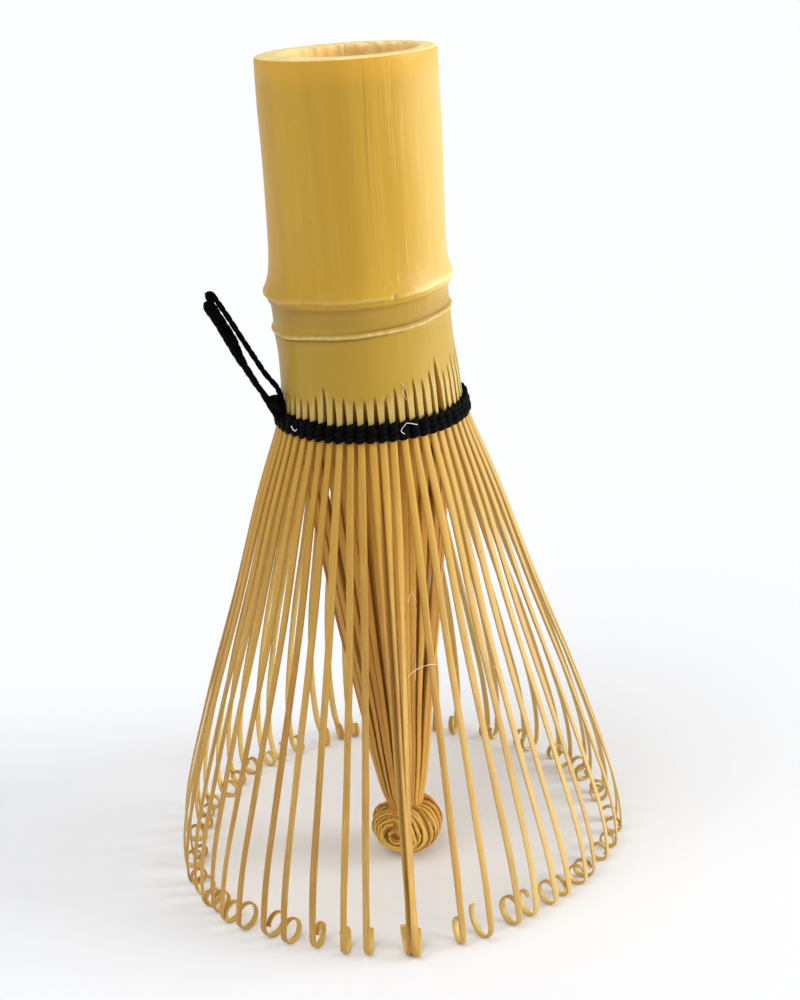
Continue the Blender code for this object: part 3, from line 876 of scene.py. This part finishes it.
def bunRoute(waistAngle, layer, chance):
    # down into the bun, out at its top and clockwise round the pole
    centre, radii = innerSettings["bunCentre"], innerSettings["bunRadii"]
    pole = innerSettings["bunPole"].normalized()
    up = (Vector((0, 0, 1)) - pole * pole.z).normalized()
    right = up.cross(pole)
    start = atAngle(waistAngle)
    depth = (0.08 if start.dot(right) > 0 else 0.40) + chance.uniform(0, 0.14)
    widest = asin(max(-1.0, min(1.0, start.dot(pole)))) * 0.84
    widest += chance.uniform(-0.06, 0.06) + 0.04 * layer
    firstTurn = radians(chance.uniform(-34, -10))
    lastTurn = radians(chance.uniform(285, 345))
    seed = chance.uniform(0, 90)
    spread = (2.1 - 0.45 * layer) * mm
    points = [centre + start * spread + Vector((0, 0, 2.9 * mm)),
              centre + start * spread * 0.5 + Vector((-0.6, 0, 0.9)) * mm]
    for step in range(21):
        turned = along(firstTurn, lastTurn, step / 20)
        away = widest * along(0.66, 1.0, easeShare((turned - firstTurn) / 1.5)) * (1 + 0.07 * step / 20)
        away += 0.10 * noise.noise(Vector((seed, turned * 1.3, 0)))
        away = max(-1.42, min(1.42, away))
        flat = (up * cos(turned) + right * sin(turned)) * cos(away) + pole * sin(away)
        sunk = depth + 2.0 * (1 - easeShare(step / 2)) + 0.8 * easeShare((step - 17) / 3)
        sunk += 0.16 * noise.noise(Vector((seed, turned * 1.1, 7)))
        dimple = 1 - 0.20 * easeShare((flat.z - 0.72) / 0.28)
        points.append(centre + Vector(a * (b - sunk * mm) * dimple for a, b in zip(flat, radii)))
    return points


def innerRoute(rootAngle, waistAngle, layer, chance):
    swayIn, swayRound = chance.uniform(-0.3, 0.1) * mm, chance.uniform(-0.03, 0.03)
    route = []
    for height in (tineStart, 64.2, 62.5, 58, 50, 42, 34, 27, 21, 16, 12, innerSettings["bunTop"]):
        share = (tineStart - height) / (tineStart - innerSettings["bunTop"])
        angle = along(rootAngle, waistAngle, share) + swayRound * sin(pi * share)
        radius = readTable(bundleProfile, height) * mm * (1 - 0.29 * layer * share)
        radius += swayIn * sin(pi * share) - 0.2 * mm
        lean = easeShare(1 - height / 66.8)
        middle = Vector((0.6 * lean, -4.8 * lean, height)) * mm
        route.append(middle + atAngle(angle) * radius)
    return route + bunRoute(waistAngle, layer, chance)


def bundleAcross(route, rootAngle):
    # the flat side faces away from the middle of the bundle, and then of the bun
    carried = Vector((-sin(rootAngle), cos(rootAngle), 0))
    found = []
    for before, point in zip([route[0]] + route, route):
        after = route[min(len(found) + 1, len(route) - 1)]
        forward = (after - before).normalized()
        if point.z < 9.0 * mm:
            wanted = (point - innerSettings["bunCentre"]).cross(forward).normalized()
            wanted = wanted if wanted.dot(carried) > 0 else -wanted
            carried = carried.lerp(wanted, 0.45)
        carried = (carried - forward * carried.dot(forward)).normalized()
        found.append(carried.copy())
    return found


def bunCore():
    # the wound ends deep inside the bun, drawn as one dark mass, which also paints the shade in the gaps
    # between the strands
    bpy.ops.mesh.primitive_uv_sphere_add(segments=36, ring_count=18, radius=1)
    core = bpy.context.object
    core.data.materials.append(finishes["innerSideShaded"])
    for spot in core.data.uv_layers[0].uv:
        spot.vector = (spot.vector.y * 16, spot.vector.x * 30)
    pole = innerSettings["bunPole"].normalized()
    for vertex in core.data.vertices:
        aim = vertex.co.copy()
        furrow = 0.05 * sin(13 * acos(max(-1, min(1, aim.dot(pole)))))
        sunk = Vector(a * (b - 1.05 * mm) for a, b in zip(aim, innerSettings["bunRadii"]))
        vertex.co = innerSettings["bunCentre"] + sunk * (1 + furrow + 0.08 * noise.noise(aim * 2.5))
    return core


def makeInnerTines():
    sectorWidth = tau * len(strandPlaces) / tineCount
    for sector in range(tineCount // len(strandPlaces)):
        chance = random.Random(300 + sector)
        middle = sectorWidth * sector + pitch / 2
        strips = []
        for place, (share, layer) in enumerate(strandPlaces):
            rootAngle = middle + (place - 3) * pitch
            waistAngle = middle + innerSettings["twist"] + sectorWidth / 2 * share
            route = smoothRoute(innerRoute(rootAngle, waistAngle, layer, chance), 1.0 * mm)
            sizes, waist = [], innerSettings["waistShare"]
            for run in routeShares(route):
                ends, part = ("rootSize", "waistSize"), run / waist
                if part >= 1:
                    ends, part = ("waistSize", "tipSize"), min(1.0, (run - waist) / 0.12)
                sizes.append(tuple(along(a, b, part) for a, b in zip(*(innerSettings[end] for end in ends))))
            strips.append(layAlong("strand", route, stripSection, sizes, ("innerSkin", "innerSideShaded"),
                                   reference=bundleAcross(route, rootAngle), sides=stripSides,
                                   grain=anyGrain(chance)))
        if sector == 0:
            strips.append(bunCore())
        piece = finishPiece(joinAs(f"innerTines{sector + 1}", strips), 50)
        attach(piece, "handle")
        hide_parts(f"inner_tines_{sector + 1}")


makeInnerTines()
print("inner tines made")


# Binding thread: rows of two threads that pass each tine in turn and cross in the gaps

threadSettings = {
    "rowHeights": (64.03, 64.73, 65.43),
    "diameter": 0.78 * mm,
    "swing": 0.64 * mm,  # from behind a tine to in front of it
    "lift": 0.19 * mm,
    "innerHeights": (63.95, 64.5, 65.05),
    "innerRadius": 10.75 * mm,
}

roundSection = [(0.5 * cos(tau * n / 8), 0.5 * sin(tau * n / 8)) for n in range(8)]


def rowThread(height, phase, chance):
    route, sizes = [], []
    for step in range(tineCount * 6):
        place = step / 6
        swing = cos(pi * (place + phase))
        out = swing * (1.5 - 0.5 * swing * swing)
        angle = frontAngle + pitch * place
        wobble = 1.5 * roundNoise(angle, 9, height * 3 + phase)
        radius = (readTable(cageProfile, height) - 0.27 + wobble * 0.10) * mm + threadSettings["swing"] * out
        rise = threadSettings["lift"] * sin(pi * (place + phase)) + wobble * 0.11 * mm
        route.append(atAngle(angle, radius, height * mm + rise))
        thick = threadSettings["diameter"] * (0.82 + 0.18 * abs(swing)) * (1 + 0.18 * wobble)
        sizes.append((thick * 1.16, thick * 0.76))
    return layAlong("row", route, roundSection, sizes, ("thread",), reference=Vector((0, 0, 1)), closed=True,
                    grain=anyGrain(chance))


def innerThread(height, phase, chance):
    route = []
    for step in range(tineCount * 4):
        turned = pitch * step / 4
        twist = 40 * turned + phase
        radius = threadSettings["innerRadius"] + 0.16 * mm * cos(twist)
        route.append(atAngle(turned, radius, height * mm + 0.2 * mm * sin(twist)))
    return layAlong("row", route, roundSection, [(0.66 * mm, 0.60 * mm)] * len(route), ("thread",),
                    reference=Vector((0, 0, 1)), closed=True, grain=(chance.uniform(0, 900), 0))


def makeBand():
    chance = random.Random(21)
    rows = [rowThread(height, phase, chance)
            for height in threadSettings["rowHeights"] for phase in (0, 1)]
    band = finishPiece(joinAs("threadBand", rows), 70)
    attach(band, "handle")
    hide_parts("binding_thread_outer")
    rows = [innerThread(height, phase, chance)
            for height in threadSettings["innerHeights"] for phase in (0, pi)]
    inside = finishPiece(joinAs("threadInside", rows), 70)
    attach(inside, "handle")
    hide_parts("binding_thread_inner")


makeBand()
print("thread rows made")


# Knot: the thread's end is tied at the foot of the loop

knotSettings = {
    "diameter": 0.82 * mm,
    "aim": Vector((-0.42, 0.05, 0.9)),  # along the foot of the loop
    "wraps": 2.2,
    "wrapRadius": 0.62 * mm,
    "linkRadius": 12.7 * mm,
    # angle from the knot's, and height in millimetres
    "linkRoute": [(-0.16, 65), (-0.09, 65.6), (-0.03, 66.2), (0.03, 66.3), (0.08, 65.7), (0.14, 65)],
}


def makeKnot():
    chance = random.Random(33)
    aim = knotSettings["aim"].normalized()
    side = aim.cross(Vector((0, 1, 0))).normalized()
    front = aim.cross(side)
    centre = knotCentre()
    # a few turns round the foot, and below them an overhand tie
    wraps = []
    for step in range(58):
        share = step / 57
        turned = tau * knotSettings["wraps"] * share
        radius = knotSettings["wrapRadius"] * (1 + 0.12 * sin(share * 17))
        wraps.append(centre + aim * (share * 1.9 - 1.5) * mm
                     + (side * cos(turned) + front * sin(turned) * 0.9) * radius)
    tie = []
    for step in range(64):
        t = tau * step / 64
        x, y, z = sin(t) + 2 * sin(2 * t), cos(t) - 2 * cos(2 * t), -sin(3 * t)
        tie.append(centre - aim * 1.3 * mm + (front * x * 0.42 + aim * y * 0.55 + side * z * 0.5) * mm)
    # a link over the band carries them
    link = smoothRoute([
        atAngle(loopSettings["knotAngle"] + turned, knotSettings["linkRadius"], height * mm)
        for turned, height in knotSettings["linkRoute"]], 0.3 * mm)
    # the loop's ends go down into the band, and one more strand holds its fold
    feet = [fromKnot(foot, 0.3 * mm) for foot in (
        ((0.62, 0.58, 1.60), (1.0, 0.5, 0.4), (1.25, 0.3, -0.9), (1.3, 0.2, -2.2)),
        ((-1.31, -0.72, 1.50), (-0.75, -0.9, 0.3), (-0.1, -1.0, -1.0), (0.6, -1.0, -2.4)),
        ((-1.46, 0.2, 1.50), (-0.80, -0.4, 0.6), (0.3, -0.9, -0.6), (0.7, -0.9, -2.0)))]
    thick = (knotSettings["diameter"],) * 2
    grain = (chance.uniform(0, 900), 0)
    parts = [layAlong("wrap", wraps, roundSection, [thick] * len(wraps), ("thread",), grain=grain),
             layAlong("tie", tie, roundSection, [thick] * len(tie), ("thread",), closed=True,
                      reference=side, grain=grain),
             layAlong("link", link, roundSection, [thick] * len(link), ("thread",), grain=grain)]
    parts += [layAlong("foot", foot, plySection, [loopSize] * len(foot), ("thread",), grain=grain,
                       turns=plyTurns(foot)) for foot in feet]
    knot = finishPiece(joinAs("threadKnot", parts), 70)
    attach(knot, "handle")
    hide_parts("thread_knot")


makeKnot()
print("knot made")


# Loose fibres: fuzz on the thread, and shavings left on the bamboo

hairSection = [(0.5, 0), (-0.25, 0.43), (-0.25, -0.43)]

fibreSettings = {
    "fuzzCount": 60,
    "fuzzThickness": 0.05 * mm,
    # thickness, body, slot and points in millimetres
    "strays": {
        "whiteFibre": (0.13, "handle", "binding_thread", [
            (5.75, -11.85, 65.40), (4.55, -12.42, 65.86), (4.30, -12.55, 65.80), (3.65, -12.78, 65.0),
            (4.12, -12.62, 64.5)]),
        "whiteFleck": (0.16, "handle", "binding_thread", [
            (-10.2, -8.42, 65.2), (-9.98, -8.72, 64.75), (-9.7, -8.86, 64.62), (-9.5, -9.1, 64.95)]),
        "neckShaving": (0.12, "handle", "bamboo_culm", [
            (4.05, -10.88, 70.6), (4.38, -10.84, 70.0), (4.14, -10.97, 69.5), (4.36, -10.95, 69.0),
            (4.6, -10.82, 68.3)]),
        "archShaving": (0.12, "outer_tines_12", "bamboo_outer_tines", [
            (2.50, -21.80, 35.59), (3.17, -21.87, 36.22), (4.08, -21.69, 36.69), (5.10, -21.40, 36.82),
            (5.73, -21.20, 36.78), (6.42, -20.97, 36.58)]),
        "sideShaving": (0.10, "outer_tines_13", "bamboo_outer_tines", [
            (13.43, -18.25, 34.56), (14.07, -18.30, 33.81), (14.54, -18.26, 33.16), (15.08, -18.22, 32.18),
            (15.36, -18.05, 31.41)]),
        "frontShaving": (0.10, "outer_tines_12", "bamboo_outer_tines", [
            (3.15, -20.6, 45.2), (3.5, -20.66, 46.3), (3.9, -20.6, 46.2), (4.2, -20.4, 45.1)]),
    },
}


def makeFuzz():
    chance = random.Random(55)
    route = fromKnot(loopRoute, 0.5 * mm)
    hairs = []
    for number in range(fibreSettings["fuzzCount"]):
        start = route[chance.randrange(3, len(route) - 3)]
        aim = Vector([chance.gauss(0, 1) for n in range(3)]).normalized()
        bend = Vector([chance.gauss(0, 1) for n in range(3)]) * 0.25
        length = chance.uniform(0.5, 1.2) * mm
        hair = [start + (aim * share + bend * share * share) * length for share in (0.2, 0.5, 0.8, 1.0)]
        sizes = [(fibreSettings["fuzzThickness"] * thin,) * 2 for thin in (1, 0.9, 0.7, 0.4)]
        hairs.append(layAlong("hair", hair, hairSection, sizes, ("thread",)))
    fuzz = finishPiece(joinAs("threadFuzz", hairs), 60)
    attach(fuzz, "handle")


def makeStrays():
    for name, (thickness, body, slot, points) in fibreSettings["strays"].items():
        route = smoothRoute([Vector(point) * mm for point in points], 0.25 * mm)
        sizes = [(thickness * mm * (1 - 0.5 * share),) * 2 for share in routeShares(route)]
        finish = "shaving" if "bamboo" in slot else "fibre"
        fibre = finishPiece(layAlong(name, route, hairSection, sizes, (finish,)), 60)
        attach(fibre, body)


makeFuzz()
makeStrays()
print("loose fibres made")


# Floor and light

studioSettings = {
    "floorSize": 12.0,
    "worldStrength": 0.54,
    # place, strength and width of the two lights, the second low on the right
    "suns": [((-0.5, -0.45, 1), 1.06, radians(50)), ((1, -0.12, 0.25), 3.12, radians(35))],
}


def makeFloor():
    bpy.ops.mesh.primitive_plane_add(size=studioSettings["floorSize"])
    floor = bpy.context.object
    floor.name = "studioFloor"
    finish = Finish("palePaper")
    tooth = finish.noise(finish.coordinates(), 900, 2.0)
    colour = finish.mix(tooth, (0.920, 0.937, 0.966), (0.940, 0.957, 0.986))
    floor.data.materials.append(finish.surface(colour, 0.8 + 0.1 * tooth, Specular_IOR_Level=0.1))


def makeLights():
    world = bpy.data.worlds.new("paleStudio")
    bpy.context.scene.world = world
    world.use_nodes = True
    background = world.node_tree.nodes["Background"]
    background.inputs["Color"].default_value = (1, 1, 1, 1)
    background.inputs["Strength"].default_value = studioSettings["worldStrength"]
    for place, strength, width in studioSettings["suns"]:
        aim = (-Vector(place)).to_track_quat("-Z", "Y").to_euler()
        bpy.ops.object.light_add(type="SUN", location=place, rotation=aim)
        bpy.context.object.data.energy = strength
        bpy.context.object.data.angle = width
    bpy.context.scene.view_settings.view_transform = "Standard"


makeFloor()
makeLights()
print("floor and light placed")

bpy.ops.object.select_all(action="DESELECT")
